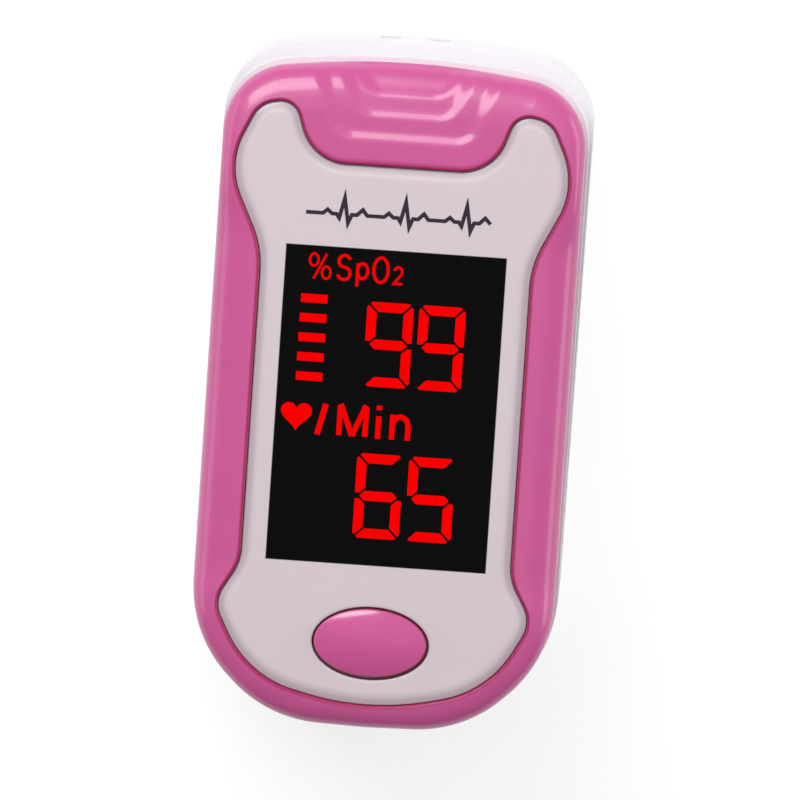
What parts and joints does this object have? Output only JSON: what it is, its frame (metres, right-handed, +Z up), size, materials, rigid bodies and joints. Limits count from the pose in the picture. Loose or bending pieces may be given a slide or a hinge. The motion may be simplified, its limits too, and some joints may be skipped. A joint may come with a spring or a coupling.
{
  "type": "fingertip pulse oximeter",
  "caption": "Clip-on fingertip pulse oximeter: two sprung jaws on a pivot pin, red segment display, oval power button and sliding battery door.",
  "frame": {"origin": "middle of the underside, on the plane that the device rests on", "axes": "+X to the right of someone reading the display, +Y from the finger mouth to the squeeze grip, +Z up through the display"},
  "size_m": [0.033, 0.06, 0.0327],
  "materials": {
    "pink_plastic": "glossy injection-moulded ABS",
    "white_plastic": "smooth semi-gloss ABS",
    "printed_lens": "clear acrylic, printed silver-lilac on its back, with a black screen window",
    "button_pink": "glossy domed cap",
    "adhesive": "double-sided adhesive sheet",
    "display_black": "black potted display with red segments",
    "circuit_board": "green solder mask over glass-epoxy laminate",
    "chip_black": "black epoxy package",
    "switch_black": "black nylon housing",
    "plunger_plastic": "white acetal",
    "silicone": "soft grey silicone",
    "window_clear": "clear epoxy window",
    "diode_epoxy": "clear epoxy package",
    "steel": "bright stainless",
    "screw_steel": "zinc-plated",
    "contact_nickel": "nickel-plated",
    "cell_wrap": "plain printed sleeve over a metal can",
    "ribbon_tan": "polyimide film"
  },
  "bodies": {
    "lower_jaw": {"lower_cover": "white_plastic", "lower_tray": "white_plastic", "lower_finger_pad": "silicone", "emitter_window": "window_clear", "emitter_board": "circuit_board", "emitter_led": "diode_epoxy", "lower_screws": "screw_steel", "pivot_pin": "steel", "jaw_spring_left": "steel", "jaw_spring_right": "steel", "battery_left": "cell_wrap", "battery_right": "cell_wrap", "contact_bridge": "contact_nickel", "contact_positive": "contact_nickel", "contact_negative": "contact_nickel", "ribbon_cable": "ribbon_tan"},
    "upper_jaw": {"upper_cover": "pink_plastic", "upper_frame": "white_plastic", "upper_finger_pad": "silicone", "detector_window": "window_clear", "front_panel": "printed_lens", "panel_adhesive": "adhesive", "tact_switch": "switch_black", "main_board": "circuit_board", "led_display": "display_black", "board_chips": "chip_black", "photo_detector": "diode_epoxy", "upper_screws": "screw_steel"},
    "button": {"power_button": "button_pink"},
    "plunger": {"switch_plunger": "plunger_plastic"},
    "door": {"battery_door": "white_plastic"}
  },
  "joints": [
    {"name": "jaw_hinge", "type": "hinge", "parent": "lower_jaw", "child": "upper_jaw", "pos_m": [0, 0.013, 0.018], "axis": [-1, 0, 0], "range_deg": [0, 19], "stiffness_Nm_per_rad": 0.1, "springref_deg": -20.05, "deforming": ["jaw_spring_left", "jaw_spring_right", "ribbon_cable"]},
    {"name": "button_press", "type": "slide", "parent": "upper_jaw", "child": "button", "axis": [0, 0, -1], "range_m": [0, 0.0004], "stiffness_N_per_m": 1200, "springref_m": -0.0003},
    {"name": "plunger_press", "type": "slide", "parent": "upper_jaw", "child": "plunger", "axis": [0, 0, -1], "range_m": [0, 0.0004]},
    {"name": "door_slide", "type": "slide", "parent": "lower_jaw", "child": "door", "axis": [0, 1, 0], "range_m": [0, 0.054]}
  ],
  "couplings": [
    {"joint": "plunger_press", "follows": "button_press", "ratio": 1}
  ]
}
